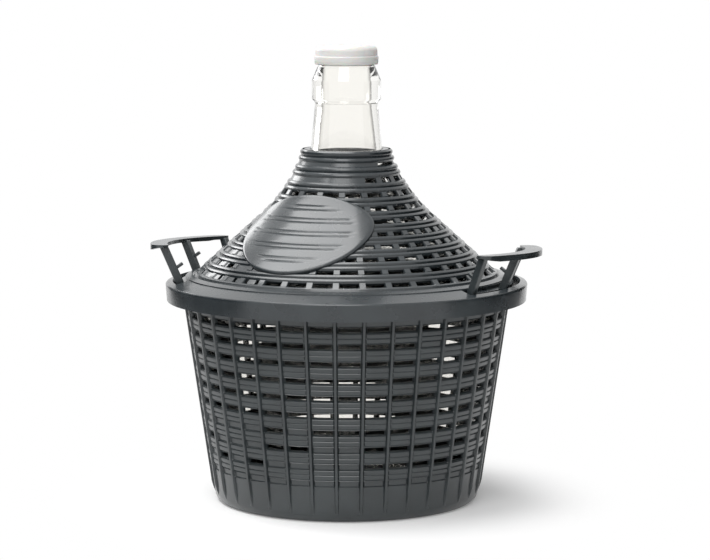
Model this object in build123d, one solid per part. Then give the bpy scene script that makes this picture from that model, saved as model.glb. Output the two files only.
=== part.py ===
from build123d import *
import math
import os

# A five litre demijohn: a glass bottle held in a moulded basket, under a slotted conical cover with a
# blank label plate, with a white cap on its mouth.  The basket's two carrying handles stand out through
# the cover.  +Z is up, z = 0 is the surface the basket stands on, and the handles lie along X.

# ---- driving dimensions, in mm; angles are in degrees, turned about Z from +X ----
gap = 0.3                   # clearance wherever two pieces are loose in each other

# basket wall and floor
floor_r = 92.7              # basket's radius at the foot, measured to the wall
wall_top_r = 115.1          # and at its top edge
wall_top_z = 153.2
wall_t = 2.4
floor_t = 2.6
foot_round = 6.0
rib_count = 36              # upright ribs round the wall
rib_phase = 3.25            # angle of the first rib
rib_w = 2.2
rib_h = 1.4
rib_foot_z = 9.0
rib_top_z = 146.2

# slots in the wall
wall_rows = 10
wall_row_z = 27.7           # height of the lowest row
wall_pitch = 11.93
slot_h = 3.2
wall_columns = 12           # a slot runs behind two ribs, and each third rib stands on a post
wall_post_w = 3.4
drain_count = 12            # openings in the floor, each as wide as half the angle from one to the next
drain_in_r = 30.0
drain_out_r = 72.0

# handles
leg_angles = (-27.25, -6.75, 27.25)     # the three legs of one handle, about its middle
leg_foot_r = 114.1          # middle of a leg where it leaves the basket's rim
leg_foot_z = 146.2
leg_top_r = 128.6
leg_w = 4.0
leg_t = 5.6
grip_z = 180.0              # top of the grip, at its middle
grip_t = 2.6
grip_in_r = 126.0
grip_out_r = 137.8
grip_lip = 4.0              # depth of the turned down outer edge
grip_corner = 2.5
grip_over = 3.0             # how far the grip runs past its end legs, in degrees
grip_dip = 2.8              # both grips lie this many degrees lower towards +Y
rim_shelf_r = 118.5         # shelf on the basket's rim that ties the legs together
rim_shelf_t = 3.0
catch_z = 165.7             # peg on each leg that holds the cover down
catch_l = 4.6
catch_t = 2.2
catch_rise = 35.0           # angle at which the peg points up

# cover
cover_t = 2.2
collar_r = 31.8
collar_foot_z = 245.2
collar_top_z = 248.2
collar_lip_r = 25.6         # hole in the collar's inward lip
collar_lip_t = 1.8
throat_angle = 70.0         # slope of the cover just under the collar
cone_foot_r = 106.5
cone_foot_z = 160.4
cone_angle = 42.1           # slope of the cover at its foot
cone_sweep = 100.0          # radius of the sweep from one slope to the other
rim_r = 127.5
rim_top_z = 154.4
rim_drop = 12.0             # height of the skirt
rim_draft = 0.9             # how much narrower the skirt is at its lower edge
rim_bevel = 1.0
seat_w = 4.6                # ring under the flange that sits on the basket's edge
locator_drop = 5.0          # lip inside the basket's edge
locator_t = 2.0
first_row = 5.6             # lowest slot row, up the slope from the cone's foot
cover_pitch = 11.4
cover_slot_h = 4.3
top_slot_h = 2.5            # slots in the row under the collar
reed_h = 0.9                # how far the reed between two rows of slots stands out
cover_columns = (12, 12, 12, 12, 12, 9, 9, 9, 9, 6)
cover_post_w = 3.6
cutout_in_r = 113.6
cutout_out_r = 122.4
cutout_half = 30.6          # half the angle of each opening that a handle rises through

# label plate, a raised blank oval on the cone
plate_angle = -100.25
plate_up = 44.6             # its middle, up the slope from the cone's foot
plate_half_w = 46.0
plate_half_h = 35.0
plate_rise = 2.4

# bottle
glass_t = 3.0
bottle_foot_r = 84.5
bottle_foot_round = 9.0
bottle_wide_r = 107.6       # where the body's side and the shoulder would meet
bottle_bend = 40.0
shoulder_angle = 43.7
shoulder_drop = 5.4         # from the cover's foot down to the line of the shoulder, square to it
neck_r = 26.6
neck_top_r = 22.0
neck_top_z = 280.7
neck_bend = 24.0
band_r = 24.2
band_z = 282.8
band_top_z = 296.2
lip_r = 19.8
lip_z = 306.7
mouth_z = 318.0
mouth_r = 15.5
bore_z = 279.2              # the mouth's bore runs down to here
punt_r = 66.0
punt_h = 9.0

# cap
cap_r = 21.9
cap_top_z = 320.2
cap_drop = 13.0
cap_round = 2.6
cap_bead = 0.5              # low band round the cap's skirt
cap_bead_z = 311.2
cap_bead_w = 2.0

# ---- values worked out from those ----
slope = math.radians(cone_angle)
handle_turns = (0, 180)
lean = math.atan2(leg_top_r - leg_foot_r, grip_z - leg_foot_z)


def wall_r(z):
    """Outer radius of the basket's wall, without ribs, at height z."""
    return floor_r + (wall_top_r - floor_r) * z / wall_top_z


def eased(corners, chords=3):
    """Corners (r, z, radius) as plain points, with each bend made of a few short flats on its arc."""
    points = []
    for k, (r, z, radius) in enumerate(corners):
        here = Vector(r, z)
        if radius == 0:
            points.append(here)
            continue
        back = (Vector(*corners[k - 1][:2]) - here).normalized()
        ahead = (Vector(*corners[(k + 1) % len(corners)][:2]) - here).normalized()
        turn = 180 - back.get_angle(ahead)
        half = math.radians(turn / 2)
        centre = here + (back + ahead).normalized() * (radius / math.cos(half))
        arm = here + back * (radius * math.tan(half)) - centre
        side = 1 if back.cross(ahead).Z < 0 else -1
        points += [centre + arm.rotate(Axis.Z, side * turn * n / chords) for n in range(chords + 1)]
    return [(p.X, p.Y) for p in points]


def turned(points):
    """A solid of revolution from the corner points (r, z) of its half section."""
    return revolve(Plane.XZ * make_face(Polyline(*points, close=True)), axis=Axis.Z)


def sector(section, middle, half):
    """A face in the XZ plane swept about Z, half an angle to each side of its middle."""
    return revolve(section, axis=Axis.Z, revolution_arc=2 * half).rotate(Axis.Z, middle - half)


def box_corners(r_in, r_out, z_low, z_high):
    return [(r_in, z_low), (r_out, z_low), (r_out, z_high), (r_in, z_high)]


def ring(r_in, r_out, z_low, z_high):
    """A rectangular face in the XZ plane, to be turned into a ring."""
    return Plane.XZ * make_face(Polyline(*box_corners(r_in, r_out, z_low, z_high), close=True))


# ---- basket ----
def cup(inset, bottom):
    """The basket's form as a closed solid, moved in by inset and raised to bottom."""
    corners = [(0, bottom, 0), (wall_r(bottom) - inset, bottom, foot_round - inset),
               (wall_r(wall_top_z) - inset, wall_top_z, 0), (0, wall_top_z, 0)]
    return turned(eased(corners))


def rib(angle):
    """One upright rib, laid on the wall's outer face."""
    corners = [(wall_r(rib_foot_z), rib_foot_z), (wall_r(rib_foot_z) + rib_h, rib_foot_z),
               (wall_r(rib_top_z) + rib_h, rib_top_z), (wall_r(rib_top_z), rib_top_z)]
    section = Plane.XZ * make_face(Polyline(*corners, close=True))
    return sector(section, angle, math.degrees(rib_w / wall_top_r) / 2)


def wall_slots():
    """Cutters for the slots between the wall's posts."""
    post = math.degrees(wall_post_w / wall_top_r)
    step = 360 / wall_columns
    cutters = []
    for row in range(wall_rows):
        z = wall_row_z + row * wall_pitch
        section = ring(wall_r(z) - 3 * wall_t, wall_r(z) + 3 * wall_t, z - slot_h / 2, z + slot_h / 2)
        cutters += [sector(section, rib_phase + step * (k + 0.5), (step - post) / 2)
                    for k in range(wall_columns)]
    return cutters


def drains():
    """Cutters for the drain openings in the floor."""
    section = ring(drain_in_r, drain_out_r, -floor_t, 2 * floor_t)
    step = 360 / drain_count
    return [sector(section, rib_phase + step * k, step / 4) for k in range(drain_count)]


def leg_at(angle, dip):
    """One leaning leg with its catch peg, from the rim shelf up into the grip."""
    across = leg_t / math.cos(lean) / 2
    top_z = grip_z - grip_t / 2 - leg_top_r * math.sin(math.radians(angle)) * math.tan(math.radians(dip))
    top_r = leg_foot_r + (top_z - leg_foot_z) * math.tan(lean)
    corners = [(leg_foot_r - across, leg_foot_z), (leg_foot_r + across, leg_foot_z),
               (top_r + across, top_z), (top_r - across, top_z)]
    post = extrude(Plane.XZ * make_face(Polyline(*corners, close=True)), leg_w / 2, both=True)
    peg_r = leg_foot_r + (catch_z - leg_foot_z) * math.tan(lean) - across
    to_inside = (Align.MAX, Align.CENTER, Align.CENTER)
    peg = Box(catch_l + catch_t, catch_t, catch_t, align=to_inside)
    peg = Pos(peg_r + catch_t, 0, catch_z) * Rot(0, catch_rise, 0) * peg
    return (post + peg).rotate(Axis.Z, angle)


def handle(dip):
    """One carrying handle about the +X side: shelf, three legs and the curved grip."""
    half = leg_angles[2]
    shelf = sector(ring(wall_r(leg_foot_z) - wall_t / 2, rim_shelf_r, leg_foot_z - rim_shelf_t / 2,
                        leg_foot_z + rim_shelf_t / 2), 0, half + grip_over)
    corners = [(grip_in_r, grip_z - grip_t), (grip_out_r - grip_t, grip_z - grip_t),
               (grip_out_r - grip_t, grip_z - grip_lip), (grip_out_r, grip_z - grip_lip),
               (grip_out_r, grip_z), (grip_in_r, grip_z)]
    grip = sector(Plane.XZ * make_face(Polyline(*corners, close=True)), 0, half + grip_over)
    ends = grip.edges().filter_by(Axis.Z).filter_by(lambda e: e.center().Z > grip_z - grip_t)
    grip = chamfer(ends, grip_corner)
    grip = grip.rotate(Axis((0, 0, grip_z), (1, 0, 0)), -dip)
    return shelf + [leg_at(a, dip) for a in leg_angles] + grip


def lower_basket():
    shell = cup(0, 0) - cup(wall_t, floor_t) - wall_slots() - drains()
    shell += [rib(rib_phase + 360 * k / rib_count) for k in range(rib_count)]
    right, left = handle_turns
    return shell + [handle(grip_dip).rotate(Axis.Z, right), handle(-grip_dip).rotate(Axis.Z, left)]


# ---- cover ----
def cone_line(inset):
    """Corners of the cone, moved in by inset: collar's foot, the bend between the slopes, cone's foot."""
    low, high = math.tan(slope), math.tan(math.radians(throat_angle))
    foot_z = cone_foot_z - inset / math.cos(slope)
    throat_z = collar_foot_z - inset / math.cos(math.radians(throat_angle))
    bend_r = (throat_z + collar_r * high - foot_z - cone_foot_r * low) / (high - low)
    bend_z = foot_z + (cone_foot_r - bend_r) * low
    return (collar_r - inset, throat_z + inset * high), (bend_r, bend_z), (cone_foot_r, foot_z)


def slope_path():
    """The cover's plain outer line from the cone's foot up to the collar's foot."""
    top, bend, foot = cone_line(0)
    return Wire((Plane.XZ * FilletPolyline(foot, bend, top, radius=cone_sweep)).edges())


def place_on(path, along, out=0.0):
    """Point (r, z) at a distance along the path, moved out of the cover."""
    tangent = path % (along / path.length)
    point = path @ (along / path.length) + Vector(tangent.Z, 0, -tangent.X) * out
    return point.X, point.Z


def slot_height(row):
    return top_slot_h if row == len(cover_columns) - 1 else cover_slot_h


def cover_section():
    """Half section of the cover: collar, reeded cone, flange, skirt, seat ring and locating lip."""
    path = slope_path()
    reeds = []
    for row in range(len(cover_columns) - 1):
        low = first_row + row * cover_pitch + slot_height(row) / 2
        high = first_row + (row + 1) * cover_pitch - slot_height(row + 1) / 2
        reeds += [place_on(path, low), place_on(path, (low + high) / 2, reed_h), place_on(path, high)]
    collar_in, in_bend, _ = cone_line(cover_t)
    fall = (cone_foot_z - rim_top_z) / (rim_r - cone_foot_r)
    seat_in = wall_r(wall_top_z - locator_drop) - wall_t - gap
    under_z = rim_top_z - cover_t
    skirt_z = rim_top_z - rim_drop
    lip_in = seat_in - locator_t
    cone_in_z = in_bend[1] - (lip_in - in_bend[0]) * math.tan(slope)
    seat_out = wall_top_r + seat_w / 2
    seat_under_z = under_z + fall * (rim_r - cover_t - seat_out)
    outer = [(rim_r - rim_draft, skirt_z), (rim_r, rim_top_z - rim_bevel), (rim_r - rim_bevel, rim_top_z),
             (cone_foot_r, cone_foot_z), *reeds, (collar_r, collar_foot_z), (collar_r, collar_top_z)]
    inner = [(collar_lip_r, collar_top_z, 0), (collar_lip_r, collar_top_z - collar_lip_t, 0),
             (collar_in[0], collar_top_z - collar_lip_t, 0), (*collar_in, 0),
             (*in_bend, cone_sweep + cover_t), (lip_in, cone_in_z, 0), (lip_in, wall_top_z - locator_drop, 0),
             (seat_in, wall_top_z - locator_drop, 0), (seat_in, wall_top_z, 0), (seat_out, wall_top_z, 0),
             (seat_out, seat_under_z, 0), (rim_r - cover_t, under_z, 0),
             (rim_r - rim_draft - cover_t, skirt_z, 0)]
    return outer + eased(inner)


def cover_slots():
    """Cutters for the rows of slots, square to the cone and the sweep above it."""
    path = slope_path()
    cutters = []
    for row, columns in enumerate(cover_columns):
        along = (first_row + row * cover_pitch) / path.length
        centre = path @ along
        frame = Plane(centre, x_dir=path % along, z_dir=(0, -1, 0))
        section = frame * Rectangle(slot_height(row), 6 * cover_t)
        step = 360 / columns
        post = math.degrees(cover_post_w / centre.X)
        cutters += [sector(section, rib_phase + step * (k + 0.5), (step - post) / 2) for k in range(columns)]
    return cutters


def label_plate():
    """The blank oval: cut from a thicker cover, down to the cover's inner face."""
    out_top, out_bend, out_foot = cone_line(-plate_rise)
    in_top, in_bend, in_foot = cone_line(cover_t)
    corners = [out_foot, out_bend, out_top, in_top, in_bend, in_foot]
    radii = [0, cone_sweep - plate_rise, 0, 0, cone_sweep + cover_t, 0]
    band = sector(Plane.XZ * make_face(FilletPolyline(*corners, radius=radii, close=True)), 0, 75)
    path = slope_path()
    middle = path @ (plate_up / path.length)
    face = Plane(middle, x_dir=(0, 1, 0), z_dir=(math.sin(slope), 0, math.cos(slope)))
    oval = extrude(face * Ellipse(plate_half_w, plate_half_h), plate_half_h, both=True)
    return (band & oval).rotate(Axis.Z, plate_angle)


def handle_openings():
    """Cutters for the two openings in the flange that the handles rise through."""
    section = ring(cutout_in_r, cutout_out_r, wall_top_z - locator_drop, cone_foot_z + cover_t)
    return [sector(section, turn, cutout_half) for turn in handle_turns]


def upper_basket():
    shell = turned(cover_section())
    shell -= cover_slots()
    shell += label_plate()
    return shell - handle_openings()


# ---- bottle ----
def bottle():
    """The bottle: outer line up to the lip, then the inner line back down, turned about Z."""
    foot_z = floor_t
    t = glass_t
    shoulder = math.radians(shoulder_angle)
    shoulder_foot_z = cone_foot_z - shoulder_drop / math.cos(shoulder)
    shoulder_top_z = shoulder_foot_z + (cone_foot_r - neck_r) * math.tan(shoulder)
    shoulder_low_z = shoulder_foot_z + (cone_foot_r - bottle_wide_r) * math.tan(shoulder)
    foot = eased([(punt_r, foot_z, 0), (bottle_foot_r, foot_z, bottle_foot_round),
                  (bottle_wide_r, shoulder_low_z, 0)])[:-1]
    body = [(bottle_wide_r, shoulder_low_z), (neck_r, shoulder_top_z)]
    finish = [(neck_top_r, neck_top_z), (band_r, band_z), (band_r, band_top_z), (lip_r, lip_z),
              (lip_r, mouth_z), (mouth_r, mouth_z)]
    inner = eased([(mouth_r, bore_z, 0), (neck_r - t, shoulder_top_z - t, neck_bend + t),
                   (bottle_wide_r - t, shoulder_low_z - t / 2, bottle_bend - t),
                   (bottle_foot_r - t, foot_z + t, bottle_foot_round - t), (punt_r, foot_z + t, 0),
                   (0, foot_z + t + punt_h, 0), (0, foot_z + punt_h, 0)])
    points = foot + body + finish + inner
    radii = [0] * len(foot) + [bottle_bend, neck_bend] + [0] * (len(finish) + len(inner))
    return revolve(Plane.XZ * make_face(FilletPolyline(*points, radius=radii, close=True)), axis=Axis.Z)


# ---- cap ----
def cap():
    """A plain push-on cap that rests on the lip and hangs clear round it."""
    foot_z = cap_top_z - cap_drop
    low, high = cap_bead_z - cap_bead_w / 2, cap_bead_z + cap_bead_w / 2
    corners = [(0, mouth_z, 0), (lip_r + gap, mouth_z, 0), (lip_r + gap, foot_z, 0), (cap_r, foot_z, 0),
               (cap_r, low, 0), (cap_r + cap_bead, low + cap_bead, 0), (cap_r + cap_bead, high - cap_bead, 0),
               (cap_r, high, 0), (cap_r, cap_top_z, cap_round), (0, cap_top_z, 0)]
    return turned(eased(corners))


pieces = {
    "lower_basket": lower_basket(),
    "upper_basket": upper_basket(),
    "bottle": bottle(),
    "cap": cap(),
}

os.makedirs("parts", exist_ok=True)
for name, solid in pieces.items():
    solid.label = name
    export_step(solid, f"parts/{name}.step")
    print(name, solid.is_valid, round(solid.volume / 1000, 2), "cm3")
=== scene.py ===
# %% [markdown]
# # A demijohn in its plastic basket
# The object is a glass bottle of five litres, held in a moulded basket under a slotted cone that
# serves as its lid, with a white cap on the mouth.  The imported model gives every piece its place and
# size.  Here each piece gets the detail and the finish that the real one has.  All sizes are written
# in millimetres, because that is how the mould maker thinks, and one constant turns them into metres.

# %% Load the frame and the tools
import math
import random

import bpy
import numpy as np
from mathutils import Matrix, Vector


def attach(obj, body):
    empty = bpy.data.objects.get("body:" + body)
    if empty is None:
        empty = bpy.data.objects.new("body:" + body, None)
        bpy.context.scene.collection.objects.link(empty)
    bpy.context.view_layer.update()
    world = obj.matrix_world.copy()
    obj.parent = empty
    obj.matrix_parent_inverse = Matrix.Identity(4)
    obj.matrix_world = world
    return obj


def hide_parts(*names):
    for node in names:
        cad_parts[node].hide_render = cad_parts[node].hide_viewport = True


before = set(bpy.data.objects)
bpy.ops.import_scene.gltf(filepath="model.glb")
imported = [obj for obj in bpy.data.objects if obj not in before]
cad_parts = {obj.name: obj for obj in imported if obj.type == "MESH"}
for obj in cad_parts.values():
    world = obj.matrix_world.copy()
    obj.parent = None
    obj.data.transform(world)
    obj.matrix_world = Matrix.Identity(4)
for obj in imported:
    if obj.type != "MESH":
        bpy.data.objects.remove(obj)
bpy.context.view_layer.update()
MM = 0.001
BODY = "demijohn"

# %% [markdown]
# ## Outlines
# Nearly everything here is round: bottle, cap, basket and cover are half sections turned about Z.
# A section could be a Blender curve with a Screw modifier, but the basket and cover need holes in
# known places, so each section is a list of corner points with a radius at each corner, and the
# points are worked out in code.

# %% Corner points to a smooth outline
def rounded(corners, step=0.6):
    """Points along a path of (r, z, radius) corners, with an arc of that radius at each corner."""
    points = [Vector(corners[0][:2])]
    for before, corner, after in zip(corners, corners[1:], corners[2:]):
        here = Vector(corner[:2])
        back = (Vector(before[:2]) - here).normalized()
        ahead = (Vector(after[:2]) - here).normalized()
        radius = corner[2]
        turn = math.pi - back.angle(ahead)
        if radius < 1e-6 or turn < 1e-4:
            points.append(here)
            continue
        reach = radius * math.tan(turn / 2)
        centre = here + (back + ahead).normalized() * (radius / math.cos(turn / 2))
        start = here + back * reach - centre
        end = here + ahead * reach - centre
        count = max(3, int(radius * turn / step) + 1)
        for k in range(count + 1):
            t = k / count
            arm = (start * (1 - t) + end * t).normalized() * radius
            points.append(centre + arm)
    points.append(Vector(corners[-1][:2]))
    return points


print("a corner of 2 mm radius gets", len(rounded([(0, 0, 0), (5, 0, 2), (5, 5, 0)])) - 2, "points")

# %% [markdown]
# Detail on a wall, such as a rib or a reed, is easiest to place as a distance along the wall and a
# height above it.  The class below walks along an outline and gives the place and the outward
# direction at any distance, so relief can be written as plain numbers.

# %% Walking along an outline
class Outline:
    """A path in the half section, asked for its place at a distance along it."""

    def __init__(self, points):
        pairs = np.array([p[:] for p in points], float)
        keep = np.concatenate([[True], np.linalg.norm(np.diff(pairs, axis=0), axis=1) > 1e-6])
        self.points = pairs[keep]
        steps = np.diff(self.points, axis=0)
        self.along = np.concatenate([[0], np.cumsum(np.linalg.norm(steps, axis=1))])
        tangent = np.gradient(self.points, self.along, axis=0)
        tangent /= np.linalg.norm(tangent, axis=1)[:, None]
        self.normal = np.stack([tangent[:, 1], -tangent[:, 0]], axis=1)
        self.length = self.along[-1]

    def at(self, s, offset=0.0):
        """Radius and height at distance s, moved outward by offset."""
        place = [np.interp(s, self.along, self.points[:, k]) for k in (0, 1)]
        out = [np.interp(s, self.along, self.normal[:, k]) for k in (0, 1)]
        return np.stack([place[0] + offset * out[0], place[1] + offset * out[1]], axis=-1)


print("a path over (0, 0), (3, 0), (3, 4) is", Outline([(0, 0), (3, 0), (3, 4)]).length, "mm long")

# %% [markdown]
# ## From points to pieces
# Every piece goes through one function that turns millimetres into metres, keeps sharp edges sharp
# and tells the frame which body carries it and what it is made of.  A turned piece comes from a
# lathe, and a wall with holes from a lattice, whose open cells are left out.

# %% Making a piece
def make_piece(name, vertices, faces, material, body=BODY, sharp=32):
    """A smooth shaded mesh object from points in mm, with edges past sharp degrees kept sharp."""
    mesh = bpy.data.meshes.new(name)
    mesh.from_pydata([(x * MM, y * MM, z * MM) for x, y, z in vertices], [], faces)
    mesh.validate()
    mesh.polygons.foreach_set("use_smooth", [True] * len(mesh.polygons))
    mesh.set_sharp_from_angle(angle=math.radians(sharp))
    piece = bpy.data.objects.new(name, mesh)
    bpy.context.scene.collection.objects.link(piece)
    piece.data.materials.append(material)
    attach(piece, body)
    print(name, len(mesh.vertices), "points", len(mesh.polygons), "faces")
    return piece


# %% Lathe
def polar(radius, angle, height):
    return (radius * math.cos(angle), radius * math.sin(angle), height)


def lathe(outline, count=160, closed=False):
    """Points and faces of an outline turned about Z; ends on the axis become one point each."""
    points = [tuple(p[:]) for p in outline]
    vertices, rings = [], []
    for radius, height in points:
        if radius < 1e-4:
            rings.append([len(vertices)] * count)
            vertices.append((0, 0, height))
        else:
            rings.append(list(range(len(vertices), len(vertices) + count)))
            vertices += [polar(radius, 2 * math.pi * k / count, height) for k in range(count)]
    faces = []
    pairs = list(zip(rings, rings[1:])) + ([(rings[-1], rings[0])] if closed else [])
    for low, high in pairs:
        for k in range(count):
            m = (k + 1) % count
            corners = list(dict.fromkeys([low[k], low[m], high[m], high[k]]))
            if len(corners) > 2:
                faces.append(corners)
    return vertices, faces


print("a turned cone has", len(lathe([(0, 0), (5, 0), (0, 9)], 16)[1]), "faces")


# %% Lattice
def lattice(angle, outer, inner, is_open):
    """A thin shell with holes: rows by columns of outer and inner points, and its open cells.

    angle is rows x columns; outer and inner are rows x columns x (r, z); is_open is rows-1 x columns.
    """
    rows, columns = angle.shape
    def grid(side):
        return np.stack([side[..., 0] * np.cos(angle), side[..., 0] * np.sin(angle), side[..., 1]],
                        axis=-1)
    points = np.concatenate([grid(outer).reshape(-1, 3), grid(inner).reshape(-1, 3)])
    below = rows * columns
    def number(i, j):
        return i * columns + j % columns
    faces = []
    for i in range(rows - 1):
        for j in range(columns):
            if is_open[i, j]:
                continue
            a, b = number(i, j), number(i, j + 1)
            d, c = number(i + 1, j), number(i + 1, j + 1)
            faces.append((a, b, c, d))
            faces.append((a + below, d + below, c + below, b + below))
            if i == 0 or is_open[i - 1, j]:
                faces.append((a, a + below, b + below, b))
            if i == rows - 2 or is_open[i + 1, j]:
                faces.append((d, c, c + below, d + below))
            if is_open[i, j - 1]:
                faces.append((a, d, d + below, a + below))
            if is_open[i, (j + 1) % columns]:
                faces.append((b, b + below, c + below, c))
    used = sorted({v for f in faces for v in f})
    renumber = {old: new for new, old in enumerate(used)}
    return [tuple(points[v]) for v in used], [tuple(renumber[v] for v in f) for f in faces]


# %% [markdown]
# ## Materials
# Every material starts from the real one.  Colours are written as the sRGB hex values that a paint
# chart would give and turned to linear once.  One function adds a node with its settings and links.

# %% Colour and node helpers
def linear(code):
    """A hex colour such as 'a0b1c2', as linear RGBA."""
    channels = [int(code[k:k + 2], 16) / 255 for k in (0, 2, 4)]
    return (*[c / 12.92 if c <= 0.04045 else ((c + 0.055) / 1.055) ** 2.4 for c in channels], 1.0)


def add(tree, kind, settings=None, **inputs):
    """Adds a node; settings are its properties, inputs are values or sockets for its inputs."""
    node = tree.nodes.new(kind)
    for key, value in (settings or {}).items():
        setattr(node, key, value)
    for key, value in inputs.items():
        socket = node.inputs[int(key[1:])] if key[0] == "_" else node.inputs[key.replace("_", " ")]
        if isinstance(value, bpy.types.NodeSocket):
            tree.links.new(value, socket)
        else:
            socket.default_value = value
    return node


def new_material(name):
    """An empty material with an output node; returns the material, its tree and the output."""
    material = bpy.data.materials.new(name)
    material.use_nodes = True
    tree = material.node_tree
    tree.nodes.clear()
    return material, tree, tree.nodes.new("ShaderNodeOutputMaterial")


print("mid grey 808080 is", round(linear("808080")[0], 3), "in linear light")

# %% [markdown]
# ### Moulded polypropylene
# The basket and the cover are injection moulded polypropylene, coloured dark grey green through and
# through.  The mould is fairly smooth, so the plastic has a soft satin gloss that turns pale where it
# is seen at a flat angle.  Flow marks, a few centimetres long, shift its colour and gloss a little.
# The real grain is finer than a tenth of a millimetre and would not show, so it is drawn about a
# millimetre wide and very shallow, just enough to break the highlights.  A thin coat stands for the
# polished skin that the mould leaves, which is why the plastic shines at its edges.

# %% Polypropylene
GRAIN_MM, GRAIN_DEPTH_MM = 0.9, 0.05
FLOW_MM = 26.0
FLOW_RANGE = {"From_Min": 0.3, "From_Max": 0.7}


def moulded_polypropylene(name, dark, light, smooth, rough):
    """Satin plastic between two colours, and between two roughnesses, along its flow marks."""
    material, tree, output = new_material(name)
    place = add(tree, "ShaderNodeTexCoord").outputs["Object"]
    flow = add(tree, "ShaderNodeTexNoise", Vector=place, Scale=1 / (FLOW_MM * MM), Detail=4.0,
               Roughness=0.55)
    grain = add(tree, "ShaderNodeTexNoise", Vector=place, Scale=1 / (GRAIN_MM * MM), Detail=2.0)
    shade = add(tree, "ShaderNodeMapRange", Value=flow.outputs["Fac"], **FLOW_RANGE)
    colour = add(tree, "ShaderNodeMix", {"data_type": "RGBA"}, _0=shade.outputs["Result"],
                 _6=linear(dark), _7=linear(light))
    gloss = add(tree, "ShaderNodeMapRange", Value=flow.outputs["Fac"], To_Min=smooth, To_Max=rough,
                **FLOW_RANGE)
    bump = add(tree, "ShaderNodeBump", Height=grain.outputs["Fac"], Strength=0.25,
               Distance=GRAIN_DEPTH_MM * MM)
    skin = add(tree, "ShaderNodeBsdfPrincipled", Base_Color=colour.outputs[2], IOR=1.49,
               Roughness=gloss.outputs["Result"], Normal=bump.outputs["Normal"],
               Coat_Weight=0.35, Coat_Roughness=0.12)
    tree.links.new(skin.outputs["BSDF"], output.inputs["Surface"])
    print(name, "from", dark, "to", light, "roughness", smooth, "to", rough)
    return material


basket_plastic = moulded_polypropylene("polypropylene_basket", "272c2e", "313739", 0.28, 0.38)
cover_plastic = moulded_polypropylene("polypropylene_cover", "22272a", "2c3235", 0.22, 0.32)

# %% [markdown]
# ### Glass
# The bottle is clear flint glass, pressed at the neck and blown below.  It is a real refracting shell
# with two surfaces.  Where the eye looks along the glass, dark surroundings show in it, and this is
# painted in as shade: the edge colour is darker, faint on the outside, and deep on the inside, where
# it draws the two dark lines beside the bore.  Blown glass is never quite even, so a slow ripple,
# about as wide as a thumb, bends the highlights a little.

# %% Glass
RIPPLE_MM, RIPPLE_DEPTH_MM = 18.0, 0.4


def flint_glass(name, edge_from, edge_to, painted_shade_code):
    """Clear glass with painted shade: a darker edge colour where it is seen at a flat angle, for the dark
    surroundings seen there.
    """
    material, tree, output = new_material(name)
    place = add(tree, "ShaderNodeTexCoord").outputs["Object"]
    ripple = add(tree, "ShaderNodeTexNoise", Vector=place, Scale=1 / (RIPPLE_MM * MM), Detail=1.0)
    bump = add(tree, "ShaderNodeBump", Height=ripple.outputs["Fac"], Strength=0.2,
               Distance=RIPPLE_DEPTH_MM * MM)
    # painted shade: towards a flat view the glass colour is mixed with the darker edge colour, standing in
    # for dark surroundings
    edge = add(tree, "ShaderNodeLayerWeight", Blend=0.5)
    depth = add(tree, "ShaderNodeMapRange", {"interpolation_type": "SMOOTHSTEP"},
                Value=edge.outputs["Facing"], From_Min=edge_from, From_Max=edge_to)
    tint_and_painted_shade = add(tree, "ShaderNodeMix", {"data_type": "RGBA"}, _0=depth.outputs["Result"],
               _6=linear("fcfbf8"), _7=linear(painted_shade_code))
    glass = add(tree, "ShaderNodeBsdfPrincipled", Base_Color=tint_and_painted_shade.outputs[2], IOR=1.52, Roughness=0.0,
                Normal=bump.outputs["Normal"], Transmission_Weight=1.0)
    tree.links.new(glass.outputs["BSDF"], output.inputs["Surface"])
    print(name, "edge colour", painted_shade_code)
    return material


# painted shade at the glass edges: faint on the outside, deep on the inside, where it draws the dark lines
# beside the bore
clear_glass = flint_glass("flint_glass", 0.72, 1.0, "8c8c86")
inner_glass = flint_glass("flint_glass_inside", 0.42, 0.8, "23241f")

# %% [markdown]
# ### Polyethylene cap
# The cap is unpigmented low density polyethylene: white because it scatters light inside, waxy, with
# a dull gloss.  Some light comes right through its thin wall, so a share of a translucent shader is
# mixed in, and the gloss wanders over patches of a few millimetres, as on anything waxy that has
# been handled.

# %% Polyethylene
WAX_MM = 6.0
SCATTER_MM = 2.5
CAP_LET_THROUGH = 0.35


def milky_polyethylene():
    material, tree, output = new_material("polyethylene_cap")
    place = add(tree, "ShaderNodeTexCoord").outputs["Object"]
    wax = add(tree, "ShaderNodeTexNoise", Vector=place, Scale=1 / (WAX_MM * MM), Detail=3.0)
    gloss = add(tree, "ShaderNodeMapRange", Value=wax.outputs["Fac"], To_Min=0.32, To_Max=0.5)
    skin = add(tree, "ShaderNodeBsdfPrincipled", Base_Color=linear("dcdcdb"), IOR=1.51,
               Roughness=gloss.outputs["Result"], Subsurface_Weight=0.35,
               Subsurface_Scale=SCATTER_MM * MM)
    through = add(tree, "ShaderNodeBsdfTranslucent", Color=linear("f0efec"))
    milk = add(tree, "ShaderNodeMixShader", _0=CAP_LET_THROUGH, _1=skin.outputs["BSDF"],
               _2=through.outputs["BSDF"])
    tree.links.new(milk.outputs["Shader"], output.inputs["Surface"])
    print("cap lets", CAP_LET_THROUGH, "of its light through")
    return material


cap_plastic = milky_polyethylene()

# %% [markdown]
# ## The lower basket
# The wall is a lattice: 36 upright ribs, and between them ten rows of slots with two rounded reeds in
# every band, so it looks woven.  Cutting 360 holes with booleans would be slow, so the shell is laid
# out as a grid whose lines run along the edges of ribs, reeds and slots, and a slot is a cell of the
# grid that is left out.

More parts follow.
